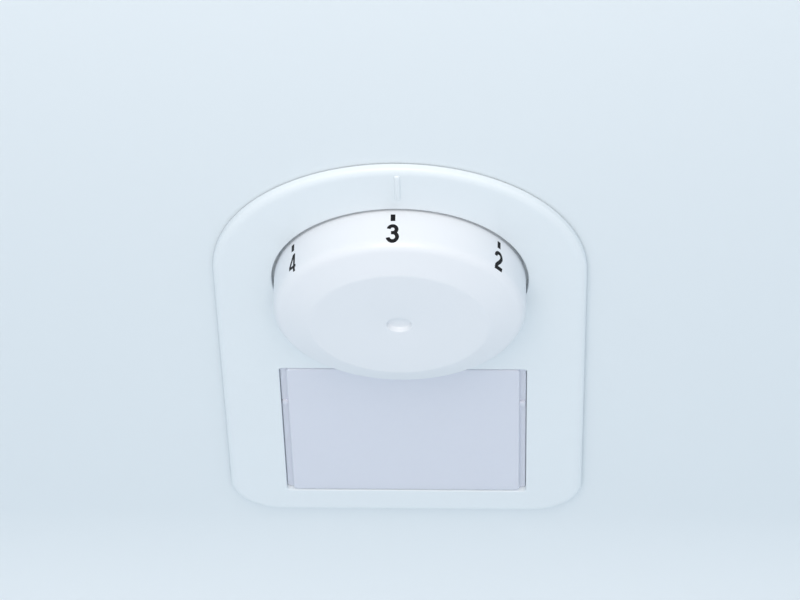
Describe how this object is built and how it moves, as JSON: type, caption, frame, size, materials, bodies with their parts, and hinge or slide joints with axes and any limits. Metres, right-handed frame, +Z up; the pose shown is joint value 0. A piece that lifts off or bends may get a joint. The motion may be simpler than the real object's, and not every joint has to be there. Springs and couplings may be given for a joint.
{
  "type": "thermostat control unit with lamp",
  "caption": "Arched white cover plate with a large numbered control knob above a square lamp lens, on a recessed housing that holds the thermostat and the lamp.",
  "frame": {"origin": "on the knob's axis, in the plane of the wall that the cover plate lies on", "axes": "+X right, +Y into the wall, +Z up towards the plate's arched end, as seen facing the knob"},
  "size_m": [0.089, 0.0636, 0.1559],
  "materials": {
    "plate_plastic": "smooth moulded white plastic, satin gloss",
    "knob_plastic": "smooth moulded white plastic with black printed figures",
    "lens_plastic": "frosted translucent plastic with a cool tint",
    "housing_plastic": "grained light grey moulded plastic",
    "plated_steel": "zinc-plated sheet and turned steel",
    "spring_steel": "bright spring steel",
    "brass": "turned and stamped brass",
    "copper": "drawn copper",
    "phenolic": "dark moulded phenolic",
    "white_porcelain": "glazed white ceramic or hard white moulding",
    "reflector_white": "bright white gloss plastic",
    "lamp_glass": "clear blown glass",
    "black_rubber": "moulded black rubber",
    "wire_brown": "brown wire insulation",
    "wire_blue": "blue wire insulation"
  },
  "bodies": {
    "base": {"front_plate": "plate_plastic", "rear_housing": "housing_plastic", "housing_screw_top_left": "plated_steel", "housing_screw_top_right": "plated_steel", "housing_screw_bottom_left": "plated_steel", "housing_screw_bottom_right": "plated_steel", "clip_screw_left": "plated_steel", "clip_screw_right": "plated_steel", "support_bracket": "plated_steel", "bracket_screw_left": "plated_steel", "bracket_screw_right": "plated_steel", "bush_nut": "plated_steel", "thermostat_frame": "plated_steel", "range_lever_stud": "plated_steel", "main_lever_stud": "plated_steel", "bellows_pin": "plated_steel", "retaining_clip_left": "spring_steel", "retaining_clip_right": "spring_steel", "range_spring": "spring_steel", "spindle_bush": "brass", "terminal_live": "brass", "terminal_lamp": "brass", "terminal_load": "brass", "fixed_contact": "brass", "holder_sleeve": "brass", "centre_contact": "brass", "holder_tab_live": "brass", "holder_tab_neutral": "brass", "bellows_capsule": "copper", "capillary_tube": "copper", "switch_block": "phenolic", "lamp_holder": "white_porcelain", "lamp_reflector": "reflector_white", "cable_grommet": "black_rubber", "lamp_lead_live": "wire_brown", "lamp_lead_neutral": "wire_blue"},
    "dial": {"control_knob": "knob_plastic", "hub_clamp_ring": "spring_steel", "spindle": "brass", "range_cam": "white_porcelain"},
    "range_lever": {"range_lever": "plated_steel"},
    "main_lever": {"main_lever": "plated_steel"},
    "contact": {"contact_blade": "brass"},
    "lens": {"lamp_lens": "lens_plastic"},
    "lamp": {"lamp_glass": "lamp_glass", "lamp_cap": "plated_steel"}
  },
  "joints": [
    {"name": "knob_turn", "type": "hinge", "parent": "base", "child": "dial", "pos_m": [0, 0, 0], "axis": [0, 1, 0], "range_deg": [-159.9, 110.1]},
    {"name": "range_lever_swing", "type": "hinge", "parent": "base", "child": "range_lever", "pos_m": [-0.013, 0.017, 0.0155], "axis": [0, 1, 0], "range_deg": [-3.3, 2.3]},
    {"name": "main_lever_swing", "type": "hinge", "parent": "base", "child": "main_lever", "pos_m": [0.0132, 0.017, -0.0215], "axis": [0, 1, 0], "range_deg": [-0.6, 0.6], "stiffness_Nm_per_rad": 0.02},
    {"name": "contact_snap", "type": "hinge", "parent": "base", "child": "contact", "pos_m": [0.008, 0.017, 0.0182], "axis": [0, 1, 0], "range_deg": [-4.2, 4.2]},
    {"name": "lens_pull", "type": "slide", "parent": "base", "child": "lens", "axis": [0, -1, 0], "range_m": [0, 0.018]},
    {"name": "lamp_unscrew", "type": "hinge", "parent": "base", "child": "lamp", "pos_m": [0, 0.02, -0.0885], "axis": [0, 0, 1], "range_deg": [0, 720]}
  ],
  "couplings": [
    {"joint": "range_lever_swing", "follows": "knob_turn", "ratio": 0.020536},
    {"joint": "contact_snap", "follows": "main_lever_swing", "ratio": -6.94}
  ]
}
